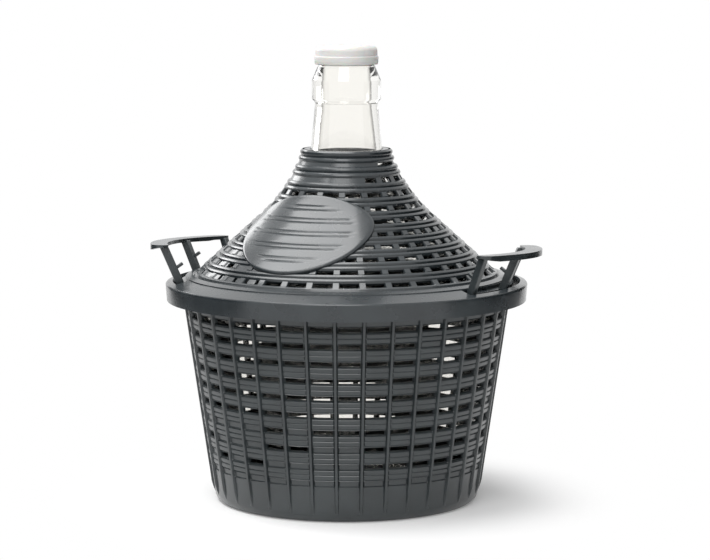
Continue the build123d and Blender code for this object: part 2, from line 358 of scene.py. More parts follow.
# %% Wall outline
RIBS = 36
RIB_PHASE = math.radians(3.25)
FLOOR_R, FLOOR_T, FOOT_ROUND = 92.7, 2.6, 6.0
HUB_HOLE_R, HUB_R = 4.0, 6.0  # the floor's grid stops at a small hole, which a hub fills
WALL_TOP_R, WALL_TOP_Z, WALL_T = 115.1, 153.2, 2.4


def wall_radius(z):
    """Outer radius of the plain wall at a height: a straight taper, so that baskets stack."""
    return FLOOR_R + (WALL_TOP_R - FLOOR_R) * z / WALL_TOP_Z


wall_corners = [(HUB_HOLE_R, 0.0, 0), (FLOOR_R, 0.0, FOOT_ROUND)]
wall_corners += [(wall_radius(z), z, 0) for z in range(15, 151, 15)] + [(WALL_TOP_R, WALL_TOP_Z, 0)]
wall_outline = Outline(rounded(wall_corners))
print("basket wall path", round(wall_outline.length, 1), "mm")

# %% [markdown]
# Going up the wall, every band between two rows of slots starts and ends with a bevel and a thin
# raised frame, and carries two rounded reeds with a shallow groove between them.  Each line of the
# grid is a pair: how far along the outline it lies, and how high it stands above the plain wall.

# %% Bands of the wall
ROWS, ROW_Z, PITCH, SLOT_H = 10, 27.7, 11.93, 3.2
BEVEL, BEVEL_H = 0.9, -0.5
REED_H, GROOVE_H = 0.4, -0.12
FRAME, FRAME_H = 0.4, 0.35  # a thin raised frame runs round every slot
REED_SHAPE = ((0.14, 0.7), (0.5, 1.0), (0.86, 0.7))


def reed_rows(start, end, reeds=2):
    """Places and heights across a band between two slots: a bevel, rounded reeds and a bevel."""
    low, high = start + BEVEL, end - BEVEL
    rows = [(start, BEVEL_H), (start + FRAME, FRAME_H), (low, GROOVE_H)]
    width = (high - low) / reeds
    for k in range(reeds):
        rows += [(low + (k + t) * width, REED_H * h) for t, h in REED_SHAPE]
        if k < reeds - 1:
            rows.append((low + (k + 1) * width, GROOVE_H))
    return rows + [(high, GROOVE_H), (end - FRAME, FRAME_H), (end, BEVEL_H)]


def along_at_height(z):
    """Distance along the wall's outline at a height on the wall proper."""
    upright = wall_outline.points[:, 1] > 1.0
    return float(np.interp(z, wall_outline.points[upright, 1], wall_outline.along[upright]))


print("a band between slots is", round(PITCH - SLOT_H, 2), "mm high")

# %% Rows of the wall
DRAIN_IN, DRAIN_OUT, DRAINS = 30.0, 72.0, 12
LATTICE_TOP_Z = 143.2
floor_rows = [(r - HUB_HOLE_R, 0.0) for r in (HUB_HOLE_R, 17.0, DRAIN_IN, 44.0, 58.0, DRAIN_OUT)]
foot_start = along_at_height(ROW_Z - SLOT_H / 2)
corner_start = FLOOR_R - FOOT_ROUND - HUB_HOLE_R
corner_rows = [(corner_start + t * (foot_start - BEVEL - corner_start), 0.0)
               for t in (0.0, 0.12, 0.24, 0.36, 0.48, 0.62, 0.8, 1.0)]
rows = floor_rows + corner_rows + [(foot_start - FRAME, FRAME_H), (foot_start, BEVEL_H)]
slot_rows = {}
for row in range(ROWS):
    centre = ROW_Z + row * PITCH
    top_edge = along_at_height(centre + SLOT_H / 2)
    slot_rows[len(rows) - 1] = row
    if row < ROWS - 1:
        rows += reed_rows(top_edge, along_at_height(centre + PITCH - SLOT_H / 2))
rows += [(top_edge, BEVEL_H), (top_edge + FRAME, FRAME_H), (top_edge + BEVEL, 0.0),
         (along_at_height(LATTICE_TOP_Z), 0.0), (wall_outline.length, 0.0)]
wall_s = np.array([s for s, _ in rows])
wall_relief = np.array([h for _, h in rows])
print("rows", len(rows), "slot rows at", slot_rows)

# %% [markdown]
# Round the wall, the columns of the grid sit close together at every rib and far apart between two
# ribs.  A rib keeps its width in millimetres from foot to rim while the wall widens, so the columns
# are worked out as angles for each row by itself.

# %% Columns of the wall
# Across one rib, in mm from its middle: slot side, frame, groove, rib top and back down again.
RIB_H = 1.4
RIB_STEPS_MM = (-2.1, -1.78, -1.3, -0.8, 0.8, 1.3, 1.78, 2.1)
RIB_SHARE = (0, 0, 0, 1, 1, 0, 0, 0)
BESIDE_RIB = (0, 0, 1, 1, 1, 1, 0, 0)
FRAME_SIDE = (0, 1, 0, 0, 0, 0, 1, 0)
BETWEEN_RIBS = (0.5,)
per_rib = len(RIB_STEPS_MM) + len(BETWEEN_RIBS)


def column_angles(radius, offsets_mm, between, phase, count):
    """Angle of every column at each radius: fixed widths at the ribs, even shares between them."""
    pitch = 2 * math.pi / count
    reach = offsets_mm[-1] / radius
    table = []
    for k in range(count):
        middle = phase + k * pitch
        table += [middle + mm / radius for mm in offsets_mm]
        table += [middle + reach + t * (pitch - 2 * reach) for t in between]
    return np.stack(table, axis=1)


def every_rib(values):
    """A row of values across one rib, repeated round the wall, with zeros between the ribs."""
    return np.array((list(values) + [0] * len(BETWEEN_RIBS)) * RIBS, float)


base = wall_outline.at(wall_s)
NARROWEST = 28.0  # nearer the middle than this, the floor's columns stop keeping their width
angles = column_angles(np.maximum(base[:, 0], NARROWEST), RIB_STEPS_MM, BETWEEN_RIBS, RIB_PHASE, RIBS)
print("columns", angles.shape[1])

# %% [markdown]
# The relief is a table of heights, row by column.  Where a rib runs, its own height takes the place
# of the bands, and it fades out at the foot, as the mould's groove does.

# %% Relief of the wall
RIB_FOOT_Z, RIB_TOP_Z, RIB_RUNOUT = 9.0, 146.2, 1.5
share, beside, framed = every_rib(RIB_SHARE), every_rib(BESIDE_RIB), every_rib(FRAME_SIDE)
slot_line = np.zeros(len(rows))
for i in slot_rows:
    slot_line[i] = slot_line[i + 1] = 1
rib_fade = np.clip((wall_s - along_at_height(RIB_FOOT_Z)) / RIB_RUNOUT, 0, 1)
rib_fade = rib_fade * (wall_s < along_at_height(RIB_TOP_Z))
in_wall = (wall_s > foot_start - 2 * BEVEL) & (wall_s < top_edge + 2 * BEVEL)
bands = np.where(beside[None, :] > 0, np.minimum(wall_relief[:, None], GROOVE_H) * in_wall[:, None],
                 wall_relief[:, None])
bands = np.where(slot_line[:, None] * framed[None, :] > 0, FRAME_H, bands)
relief = bands * (1 - share[None, :]) + share[None, :] * rib_fade[:, None] * RIB_H
outer = np.stack([wall_outline.at(wall_s, relief[:, j]) for j in range(relief.shape[1])], axis=1)
inner = np.repeat(wall_outline.at(wall_s, -WALL_T)[:, None, :], relief.shape[1], axis=1)
print("relief from", relief.min(), "to", relief.max(), "mm")

# %% [markdown]
# Some slots never came free in the mould: a thin skin closes nearly all of the lowest row, and many
# of the rows above it on one side.  A seeded draw picks them, so that every run gives the same
# basket.  Drain openings in the floor are cells of the grid too, and open on every second wedge.

# %% Which cells of the wall are open
CLOSED_SIDE = -100, 20  # degrees from the front
SKIN_CHANCE_THERE = (0.9, 0.75, 0.6, 0.35)
SKIN_CHANCE = (0.85, 0.2, 0.1, 0.05)
DRAIN_ROWS = range(2, 5)
luck = random.Random(7)


def half_turn(degrees):
    """An angle brought between -180 and 180 degrees."""
    return (degrees + 180) % 360 - 180


wall_open = np.zeros((len(rows) - 1, per_rib * RIBS), bool)
for i, row in slot_rows.items():
    for k in range(RIBS):
        from_front = half_turn(math.degrees(RIB_PHASE) + (k + 0.5) * 360 / RIBS + 90)
        chance = SKIN_CHANCE[min(row, 3)]
        if row < 4 and CLOSED_SIDE[0] < from_front < CLOSED_SIDE[1]:
            chance = SKIN_CHANCE_THERE[row]
        if luck.random() < chance:
            continue
        start = k * per_rib + len(RIB_STEPS_MM) - 1
        for j in range(start, start + len(BETWEEN_RIBS) + 1):
            wall_open[i, j % wall_open.shape[1]] = True
print("open cells in the wall", int(wall_open.sum()))

drain_pitch = 360 / DRAINS
for i in DRAIN_ROWS:
    for j in range(wall_open.shape[1]):
        turn = math.degrees(angles[i, j] - RIB_PHASE)
        if abs((turn + drain_pitch / 2) % drain_pitch - drain_pitch / 2) < drain_pitch / 4 - 0.1:
            wall_open[i, j] = True

# %% Basket wall and floor
vertices, faces = lattice(angles, outer, inner, wall_open)
basket_wall = make_piece("basket_wall", vertices, faces, basket_plastic)
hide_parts("lower_basket")

points, faces = lathe([(0, 0), (HUB_R, 0), (HUB_R, FLOOR_T), (0, FLOOR_T)], 48)
make_piece("basket_floor_hub", points, faces, basket_plastic)

# %% [markdown]
# ### Handles
# Each handle is moulded in one with the basket: a shelf on the rim, three legs that lean outward and
# a curved flat grip with a turned down edge.  The legs are plain tapered bars, so they are boxes
# worked out from their own corners, and a bevel takes their edges off.

# %% Handle sizes
LEGS = (-27.25, -6.75, 27.25)  # degrees from the handle's middle
LEG_FOOT_R, LEG_FOOT_Z, LEG_TOP_R = 114.1, 146.2, 128.6
LEG_W, LEG_T = 4.0, 5.6
GRIP_Z, GRIP_T, GRIP_IN, GRIP_OUT = 180.0, 2.6, 126.0, 137.8
GRIP_OVER, GRIP_DIP, GRIP_ROUND = 3.0, 2.8, 7.0
GRIP_THINNER, GRIP_THIN_RUN = 0.9, 8  # the grip thins towards its ends
LIP_DROP, LIP_W, LIP_LEAST, LIP_RUN = 4.0, 2.1, 0.05, 14
SHELF_IN_R, SHELF_R, SHELF_T = 113.0, 118.5, 3.0
CATCH_Z, CATCH_L, CATCH_T, CATCH_RISE = 165.7, 4.6, 2.2, 35.0
LEAN = (LEG_TOP_R - LEG_FOOT_R) / (GRIP_Z - LEG_FOOT_Z)
print("legs lean", round(math.degrees(math.atan(LEAN)), 1), "degrees outward")

# %% Bars, straight and swept
END_STOPS = [0.0, 0.5, 1.3, 2.6, 4.3, 6.5]
MIDDLE_FROM, MIDDLE_STOPS = 10, 30


def swept(section_at, half, radius):
    """A closed bar swept about Z, half degrees to each side of +X; section_at gives its (r, z)
    corners at a distance in mm from the nearer end."""
    length = 2 * math.radians(half) * radius
    stops = END_STOPS + list(np.linspace(MIDDLE_FROM, length - MIDDLE_FROM, MIDDLE_STOPS))
    stops += [length - d for d in reversed(END_STOPS)]
    size, count = len(section_at(0)), len(stops) - 1
    points, faces = [], []
    for stop in stops:
        turn = stop / radius - math.radians(half)
        points += [polar(r, turn, z) for r, z in section_at(min(stop, length - stop))]
    for k in range(count):
        for m in range(size):
            a, b = k * size + m, k * size + (m + 1) % size
            faces.append((a, b, b + size, a + size))
    faces.append(tuple(reversed(range(size))))
    faces.append(tuple(range(count * size, count * size + size)))
    return points, faces


def bar(corners, wide, angle):
    """A straight bar: four (r, z) corners of its side, wide across, turned about Z by an angle."""
    c, s = math.cos(math.radians(angle)), math.sin(math.radians(angle))
    points = [(r * c - y * s, r * s + y * c, z) for y in (-wide / 2, wide / 2) for r, z in corners]
    faces = [(0, 1, 2, 3), (7, 6, 5, 4)]
    faces += [(k + 4, (k + 1) % 4 + 4, (k + 1) % 4, k) for k in range(4)]
    return points, faces


def joined(parts):
    """Several lists of points and faces as one."""
    points, faces = [], []
    for p, f in parts:
        faces += [tuple(v + len(points) for v in face) for face in f]
        points += p
    return points, faces


print("a straight bar has", len(bar([(0, 0)] * 4, 1, 0)[1]), "faces")

# %% [markdown]
# The grip's section changes towards its ends: it gets narrower and thinner and its turned down lip
# runs out, so that the hand meets a round and not a corner.

# %% Grip
def grip_part(dip):
    """The grip with its turned down outer edge, tipped about X so that it lies lower towards +Y."""
    def section(end):
        """The grip's corners; its width and lip run out in a round at each end."""
        gone = max(0.0, 1 - end / GRIP_ROUND)
        pull = GRIP_ROUND * (1 - math.sqrt(1 - gone * gone))
        inside, outside = GRIP_IN + 0.6 * pull, GRIP_OUT - pull
        thick = GRIP_T - GRIP_THINNER * (1 - min(1.0, end / GRIP_THIN_RUN)) ** 2
        lip = thick + LIP_LEAST + (LIP_DROP - GRIP_T - LIP_LEAST) * min(1.0, end / LIP_RUN)
        return [(inside, -thick), (outside - LIP_W, -thick), (outside - LIP_W, -lip),
                (outside, -lip), (outside, 0), (inside, 0)]

    points, faces = swept(section, LEGS[2] + GRIP_OVER, GRIP_OUT)
    c, s = math.cos(math.radians(dip)), math.sin(math.radians(dip))
    return [(x, y * c + z * s, GRIP_Z - y * s + z * c) for x, y, z in points], faces


print("a grip has", len(grip_part(0)[0]), "points")

# %% Legs
def leg_parts(dip):
    """Three leaning legs, each with the peg that catches the cover, and the shelf they stand on."""
    low, high = LEG_FOOT_Z - SHELF_T / 2, LEG_FOOT_Z + SHELF_T / 2
    shelf = [(SHELF_IN_R, low), (SHELF_R, low), (SHELF_R, high), (SHELF_IN_R, high)]
    parts = [swept(lambda end: shelf, LEGS[2] + GRIP_OVER, SHELF_R)]
    across = LEG_T / 2 * math.hypot(1, LEAN)
    tip = math.radians(CATCH_RISE)
    inward = Vector((-math.cos(tip), math.sin(tip))) * (CATCH_L + CATCH_T)
    up = Vector((math.sin(tip), math.cos(tip))) * CATCH_T / 2
    root = Vector((LEG_FOOT_R + (CATCH_Z - LEG_FOOT_Z) * LEAN - across + CATCH_T, CATCH_Z))
    peg = [(root - up)[:], (root + up)[:], (root + inward + up)[:], (root + inward - up)[:]]
    for angle in LEGS:
        fall = LEG_TOP_R * math.sin(math.radians(angle)) * math.tan(math.radians(dip))
        top_z = GRIP_Z - GRIP_T / 2 - fall
        top_r = LEG_FOOT_R + (top_z - LEG_FOOT_Z) * LEAN
        parts.append(bar([(LEG_FOOT_R - across, LEG_FOOT_Z), (LEG_FOOT_R + across, LEG_FOOT_Z),
                          (top_r + across, top_z), (top_r - across, top_z)], LEG_W, angle))
        parts.append(bar(peg, CATCH_T, angle))
    return joined(parts)


print("three legs and their shelf have", len(leg_parts(0)[0]), "points")

# %% Both handles
for side, sign in (("right", 1), ("left", -1)):
    for name, (points, faces), softness in (("grip", grip_part(sign * GRIP_DIP), 0.7),
                                            ("legs", leg_parts(sign * GRIP_DIP), 0.8)):
        turned = [(sign * x, sign * y, z) for x, y, z in points]
        piece = make_piece(f"handle_{name}_{side}", turned, faces, basket_plastic)
        bevel = piece.modifiers.new("softened edges", "BEVEL")
        bevel.width = softness * MM
        bevel.segments = 3
        bevel.limit_method = "ANGLE"

# %% [markdown]
# ## The cover
# The cover is the same kind of lattice laid on a cone: spokes and slots at the bottom of the
# grooves, and two rounded reeds that stand out between every two rows of slots.  A flange with a
# skirt runs round its foot.  The slots get fewer towards the neck.

# %% Cover outline
COVER_T = 2.2
COLLAR_R, COLLAR_FOOT_Z, COLLAR_Z, COLLAR_HOLE = 31.8, 245.2, 248.2, 25.6
FOOT_R, FOOT_Z = 106.5, 160.4
SLOPE, THROAT, SWEEP = math.radians(42.1), math.radians(70), 100.0
RIM_R, RIM_Z, RIM_DROP, RIM_DRAFT, RIM_ROUND = 127.5, 154.4, 12.0, 0.9, 1.3
rise_low, rise_high = math.tan(SLOPE), math.tan(THROAT)
bend_r = (COLLAR_FOOT_Z + COLLAR_R * rise_high - FOOT_Z - FOOT_R * rise_low) / (rise_high - rise_low)
bend_z = FOOT_Z + (FOOT_R - bend_r) * rise_low
cover_corners = [(RIM_R - RIM_DRAFT, RIM_Z - RIM_DROP, 0), (RIM_R, RIM_Z, RIM_ROUND),
                 (FOOT_R, FOOT_Z, 1.0), (bend_r, bend_z, SWEEP), (COLLAR_R, COLLAR_FOOT_Z, 3.0),
                 (COLLAR_R, COLLAR_Z, 0)]
cover_outline = Outline(rounded(cover_corners, 0.5))
rim_length = math.hypot(RIM_R - FOOT_R, FOOT_Z - RIM_Z)
from_foot = np.abs(cover_outline.points - np.array([FOOT_R, FOOT_Z])).sum(axis=1)
cone_start = float(cover_outline.along[np.argmin(from_foot)])
print("cover path", round(cover_outline.length, 1), "cone starts at", round(cone_start, 1))

# %% [markdown]
# The rows run from the skirt's lower edge over the rim, across the flat flange, where the handles
# come through, over a low step and a bead at the foot of the cone, and then up the cone in the same
# rhythm of slot, reed and reed.

# %% Flange and foot of the cover
CUT_IN, CUT_OUT, CUT_HALF = 113.6, 122.4, 30.6  # openings for the handles, in mm and degrees


def flange_s(radius):
    """Distance along the cover's outline at a radius on the flange."""
    return cone_start - (radius - FOOT_R) / (RIM_R - FOOT_R) * rim_length


skirt_s = (0.0, 4.0, RIM_DROP - RIM_ROUND - 0.4, RIM_DROP - 1.1, RIM_DROP - 0.5, RIM_DROP + 0.4)
cover_rows = [(s, 0.0) for s in (*skirt_s, *map(flange_s, (CUT_OUT + 1.5, CUT_OUT, CUT_IN)))]
cut_row = len(cover_rows) - 2
STEP_IN, STEP_FOOT, STEP_EDGE, STEP_H = 111.9, 113.1, 112.8, 0.6
cover_rows += [(flange_s(STEP_FOOT), 0.0), (flange_s(STEP_EDGE), STEP_H), (flange_s(STEP_IN), STEP_H)]
FOOT_BEAD = ((-1.6, 0.5), (-0.8, -0.5), (0.2, 0.2), (1.2, 0.7), (2.4, 0.5))
cover_rows += [(cone_start + s, h) for s, h in FOOT_BEAD]
print("rows on skirt and flange", len(cover_rows))

# %% Rows of the cone
COVER_ROWS, COVER_FIRST, COVER_PITCH = 10, 5.6, 11.4
COVER_SLOT, TOP_SLOT = 3.7, 2.5
COVER_REED, REED_SINK, RECESS, COLLAR_RECESS = 1.0, 0.3, -0.6, -0.5
COVER_REED_SHAPE = ((0.1, 0.1), (0.26, 0.8), (0.5, 1.0), (0.74, 0.8), (0.9, 0.1))
cover_slot_rows = {}
for row in range(COVER_ROWS):
    centre = cone_start + COVER_FIRST + row * COVER_PITCH
    half_slot = (TOP_SLOT if row == COVER_ROWS - 1 else COVER_SLOT) / 2
    next_slot = (TOP_SLOT if row == COVER_ROWS - 2 else COVER_SLOT) / 2
    cover_rows.append((centre - half_slot, RECESS))
    cover_slot_rows[len(cover_rows) - 1] = row
    start = centre + half_slot
    end = centre + COVER_PITCH - next_slot if row < COVER_ROWS - 1 else cover_outline.length
    half = (end - start) / 2
    cover_rows.append((start, RECESS))
    for k in range(2):
        cover_rows += [(start + (k + t) * half, COVER_REED * h - REED_SINK) for t, h in COVER_REED_SHAPE]
        if k == 0:
            cover_rows.append((start + half, RECESS))
cover_rows.append((cover_outline.length, COLLAR_RECESS))
cover_s = np.array([s for s, _ in cover_rows])
cover_relief = np.array([h for _, h in cover_rows])
print("rows of the cover", len(cover_rows))

# %% Columns of the cover
SPOKE_HALF, SPOKE_EDGE, SPOKE_H, SPOKE_ROWS = 2.4, 0.4, 0.75, 8
SPOKE_MM = (-SPOKE_HALF, -SPOKE_HALF + SPOKE_EDGE, SPOKE_HALF - SPOKE_EDGE, SPOKE_HALF)
BETWEEN_SPOKES = (0.25, 0.5, 0.75)
cover_per = len(SPOKE_MM) + len(BETWEEN_SPOKES)
cover_base = cover_outline.at(cover_s)
cover_angle = column_angles(cover_base[:, 0], SPOKE_MM, BETWEEN_SPOKES, RIB_PHASE, RIBS)
raised = np.array(([0, 1, 1, 0] + [0] * len(BETWEEN_SPOKES)) * RIBS, float)
beside_slot = np.zeros(len(cover_rows))
for i, row in cover_slot_rows.items():
    beside_slot[i] = beside_slot[i + 1] = 1 if row < SPOKE_ROWS else 0
cover_lift = cover_relief[:, None] + SPOKE_H * beside_slot[:, None] * raised[None, :]
cover_columns = cover_per * RIBS
cover_outer = np.stack([cover_outline.at(cover_s, cover_lift[:, j]) for j in range(cover_columns)], axis=1)
cover_inner = np.repeat(cover_outline.at(cover_s, -COVER_T)[:, None, :], cover_columns, axis=1)
print("columns of the cover", cover_columns)

# %% [markdown]
# The upper rows join two or four slots into one.  The two rows under the collar are closed by a thin
# skin at the front, some cells of the lowest rows are closed at the left, and the slots stop at the
# edge of the label plate.

# %% Which cells of the cover are open
PLATE_TURN = -101.2
PLATE_UP, PLATE_W, PLATE_H = 48.6, 47.2, 35.8
FRONT_TURN = 72.75  # brings an angle about Z to degrees from the front
RIBS_PER_SLOT = (1, 1, 1, 1, 1, 2, 2, 2, 2, 4)
SKINNED = {9: (-150, 40), 8: (-120, 25)}
FLASHED_ROWS, FLASHED_SIDE, FLASHED_CHANCE = 3, (-100, -38), 0.6


def in_plate(s, turn):
    """True if a place on the cone, in mm up the path and degrees, lies under the label plate."""
    off = math.radians(half_turn(turn - PLATE_TURN))
    across = float(np.interp(s, cover_s, cover_base[:, 0])) * math.sin(off)
    up = s - cone_start - PLATE_UP
    return abs(off) < 1.4 and (across / PLATE_W) ** 2 + (up / PLATE_H) ** 2 < 1


cover_open = np.zeros((len(cover_rows) - 1, cover_columns), bool)
for i, row in cover_slot_rows.items():
    merged = RIBS_PER_SLOT[row]
    middle_s = (cover_s[i] + cover_s[i + 1]) / 2
    for k in range(RIBS):
        slot_middle = (k - k % merged + merged / 2) * 360 / RIBS
        from_front = half_turn(math.degrees(RIB_PHASE) + slot_middle + FRONT_TURN)
        if row in SKINNED and SKINNED[row][0] < from_front < SKINNED[row][1]:
            continue
        first = k * cover_per + len(SPOKE_MM) - 1
        last = first + len(BETWEEN_SPOKES) + 1
        if (k + 1) % merged:
            last += len(SPOKE_MM) - 1
        flashed = row < FLASHED_ROWS and FLASHED_SIDE[0] < from_front < FLASHED_SIDE[1]
        for j in range(first, last):
            column = j % cover_columns
            if flashed and luck.random() < FLASHED_CHANCE:
                continue
            if not in_plate(middle_s, math.degrees(cover_angle[i, column])):
                cover_open[i, column] = True
for j in range(cover_columns):
    turn = math.degrees(cover_angle[cut_row, j])
    if any(abs(half_turn(turn - middle)) < CUT_HALF for middle in (0, 180)):
        cover_open[cut_row, j] = True
print("open cells in the cover", int(cover_open.sum()))

# %% [markdown]
# Two plain turned rings finish the cover, since nothing cuts into them: a lip that closes the collar
# towards the neck, and under the flange a seat that rests on the wall and keeps the cover centred.

# %% Cover, collar lip and seat ring
vertices, faces = lattice(cover_angle, cover_outer, cover_inner, cover_open)
cover = make_piece("cover_shell", vertices, faces, cover_plastic)
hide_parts("upper_basket")

LIP_T = 2.0
lip_out, lip_z = COLLAR_R - 0.5, COLLAR_Z - LIP_T
points, faces = lathe(rounded([(COLLAR_R - 0.6, lip_z, 0), (COLLAR_HOLE, lip_z, 0.3),
                               (COLLAR_HOLE, COLLAR_Z, 0.6), (lip_out, COLLAR_Z, 0.4),
                               (lip_out, lip_z, 0)], 0.2), 160, closed=True)
make_piece("collar_lip", points, faces, cover_plastic)

SEAT_DROP, SEAT_GAP, SEAT_LIP_T, SEAT_OUT = 5.0, 0.3, 2.0, 117.4
seat_in = wall_radius(WALL_TOP_Z - SEAT_DROP) - WALL_T - SEAT_GAP
seat_foot = WALL_TOP_Z - SEAT_DROP
points, faces = lathe([(seat_in - SEAT_LIP_T, seat_foot), (seat_in, seat_foot), (seat_in, WALL_TOP_Z),
                       (SEAT_OUT, WALL_TOP_Z), (SEAT_OUT, 155.3), (seat_in - SEAT_LIP_T, 156.9)],
                      180, closed=True)
make_piece("cover_seat_ring", points, faces, cover_plastic)

# %% [markdown]
# ### The label plate
# A smooth raised oval stands on the cone for a paper label.  It is bare, with a few shallow grooves
# in pairs.  A mesh of rings and spokes would cut across the grooves, so the plate is laid out in
# rows along them, with a row on each side of every groove, wrapped on the cone, with a rounded edge
# and a back that reaches into the cover's wall.

# %% Shape of the label plate
PLATE_RISE, PLATE_EDGE_RISE, PLATE_EDGE_FROM = 2.4, 0.9, 0.95
GROOVE_UPS, GROOVE_APART = (-23.5, -11.5, 0.5, 12.5, 24.0), 1.8
GROOVE_DEPTH, GROOVE_W = 0.4, 0.55
GROOVE_END, GROOVE_RUNOUT = 0.8, 0.06  # as shares of the way from the middle to the edge
groove_lines = [middle + edge for middle in GROOVE_UPS for edge in (-GROOVE_APART, GROOVE_APART)]


def on_cone(across, up, rise):
    """A point of the plate: across and up the cone in mm, rise above its surface."""
    s = cone_start + PLATE_UP + up
    radius, height = cover_outline.at(np.array([s]), rise)[0]
    surface = cover_outline.at(np.array([s]))[0][0]
    off = math.asin(max(-1.0, min(1.0, across / surface)))
    return polar(radius, math.radians(PLATE_TURN) + off, height)


def plate_rise(across, up):
    """Height of the plate above the cone: flat, with a rounded edge and shallow grooves."""
    out = math.hypot(across / PLATE_W, up / PLATE_H)
    if out > PLATE_EDGE_FROM:
        fall = (out - PLATE_EDGE_FROM) / (1 - PLATE_EDGE_FROM)
        return PLATE_EDGE_RISE + (PLATE_RISE - PLATE_EDGE_RISE) * math.sqrt(max(0.0, 1 - fall ** 2))
    depth = sum(GROOVE_DEPTH * math.exp(-((up - line) / GROOVE_W) ** 2) for line in groove_lines)
    return PLATE_RISE - depth * max(0.0, min(1.0, (GROOVE_END - out) / GROOVE_RUNOUT))


print("the plate has", len(groove_lines), "grooves")

# %% Mesh of the label plate
def plate_mesh():
    """The plate as rows across it, closed by a plain back."""
    ups = {round(PLATE_H * math.sin(math.pi / 2 * k / 24), 3) for k in range(-24, 25)}
    ups |= {line + step * GROOVE_W for line in groove_lines for step in (-2, -1, 0, 1, 2)}
    ups = sorted(ups)[1:-1]
    spread = [math.sin(math.pi / 2 * k / 22) for k in range(-22, 23)]
    points, faces = [], []
    for back in (False, True):
        for up in ups:
            reach = PLATE_W * math.sqrt(1 - (up / PLATE_H) ** 2)
            points += [on_cone(reach * t, up, -COVER_T if back else plate_rise(reach * t, up))
                       for t in spread]
    wide, rows = len(spread), len(ups)
    behind = rows * wide
    for m in range(rows - 1):
        for k in range(wide - 1):
            a = m * wide + k
            faces.append((a, a + 1, a + 1 + wide, a + wide))
            faces.append((a + behind, a + behind + wide, a + behind + 1 + wide, a + behind + 1))
    rim = list(range(wide)) + [m * wide + wide - 1 for m in range(1, rows)]
    rim += [(rows - 1) * wide + k for k in range(wide - 2, -1, -1)]
    rim += [m * wide for m in range(rows - 2, 0, -1)]
    for a, b in zip(rim, rim[1:] + rim[:1]):
        faces.append((b, a, a + behind, b + behind))
    return points, faces


points, faces = plate_mesh()
make_piece("label_plate", points, faces, cover_plastic)

# %% [markdown]
# ## The bottle
# One closed outline, out and back in, turned about Z: the outer surface up to the lip and the inner
# one down to the raised bottom.  Many segments keep the reflections in the glass free of flats.

# %% Bottle sizes
GLASS_T = 3.0
SHOULDER_DROP, SHOULDER = 5.4, math.radians(43.7)
PUNT_R, PUNT_H, BASE_R, WIDE_R = 66.0, 9.0, 84.5, 107.6
NECK_R, NECK_TOP_R, NECK_TOP_Z, NECK_BEND = 26.6, 22.0, 280.7, 24.0
BEAD_R, BEAD_Z, BEAD_TOP_Z = 24.2, 282.8, 296.2
LIP_R, LIP_FOOT_Z, MOUTH_R, MOUTH_Z = 19.8, 306.7, 15.5, 318.0
BORE_R = 17.6  # the bore widens a little below the mouth
shoulder_foot = FOOT_Z - SHOULDER_DROP / math.cos(SHOULDER)
shoulder_top = shoulder_foot + (FOOT_R - NECK_R) * math.tan(SHOULDER)
shoulder_low = shoulder_foot - (WIDE_R - FOOT_R) * math.tan(SHOULDER)
print("shoulder from", round(shoulder_low, 1), "to", round(shoulder_top, 1), "mm up")

# %% Bottle
bottle_corners = [
    (0, FLOOR_T + PUNT_H, 0), (PUNT_R, FLOOR_T, 2.0), (BASE_R, FLOOR_T, 9.0),
    (WIDE_R, shoulder_low, 40.0), (NECK_R, shoulder_top, NECK_BEND), (NECK_TOP_R, NECK_TOP_Z, 1.5),
    (BEAD_R, BEAD_Z, 1.5), (BEAD_R, BEAD_TOP_Z, 4.0), (LIP_R, LIP_FOOT_Z, 2.0), (LIP_R, MOUTH_Z, 2.0),
    (MOUTH_R, MOUTH_Z, 1.5), (MOUTH_R, 311.0, 2.0), (BORE_R, 305.0, 2.0), (BORE_R, 277.0, 12.0),
    (NECK_R - GLASS_T, shoulder_top - GLASS_T, NECK_BEND),
    (WIDE_R - GLASS_T, shoulder_low - GLASS_T / 2, 37.0), (BASE_R - GLASS_T, FLOOR_T + GLASS_T, 6.0),
    (PUNT_R, FLOOR_T + GLASS_T, 2.0), (0, FLOOR_T + GLASS_T + PUNT_H, 0)]
points, faces = lathe(rounded(bottle_corners, 1.0), 144)
bottle = make_piece("demijohn_glass", points, faces, clear_glass, sharp=50)
# the inner faces take the glass with the deep painted shade at its edges
bottle.data.materials.append(inner_glass)
ABOVE_PUNT_Z = 12
for face in bottle.data.polygons:
    inward = face.normal.x * face.center.x + face.normal.y * face.center.y < 0
    if inward and face.center.z > ABOVE_PUNT_Z * MM:
        face.material_index = 1
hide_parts("bottle")

# %% [markdown]
# ## The cap
# A plain push-on cap: a domed top that steps out to a wider band round its skirt.

# %% Cap
CAP_IN_R, CAP_BAND_R, CAP_TOP_R = 20.1, 22.4, 21.6
CAP_FOOT_Z, CAP_BAND_Z, CAP_TOP_Z = 307.2, 312.6, 320.2
cap_corners = [(0, MOUTH_Z, 0), (CAP_IN_R, MOUTH_Z, 0.4), (CAP_IN_R, CAP_FOOT_Z, 0),
               (22.1, CAP_FOOT_Z, 0.5), (CAP_BAND_R, 309.5, 2.0), (CAP_BAND_R, CAP_BAND_Z, 0.5),
               (21.7, CAP_BAND_Z + 0.6, 0.4), (CAP_TOP_R, CAP_TOP_Z, 3.6), (0, CAP_TOP_Z, 0)]
points, faces = lathe(rounded(cap_corners, 0.3), 128)
cap = make_piece("push_on_cap", points, faces, cap_plastic, body="cap")
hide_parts("cap")

# %% [markdown]
# ## Stage, light and camera
# A white floor in a white studio.  Rays that meet the background, straight from the camera, off a
# gloss or through the glass, see plain white.  All others get the weaker light that the object is
# lit by, so that the floor can be white without adding light to the object.

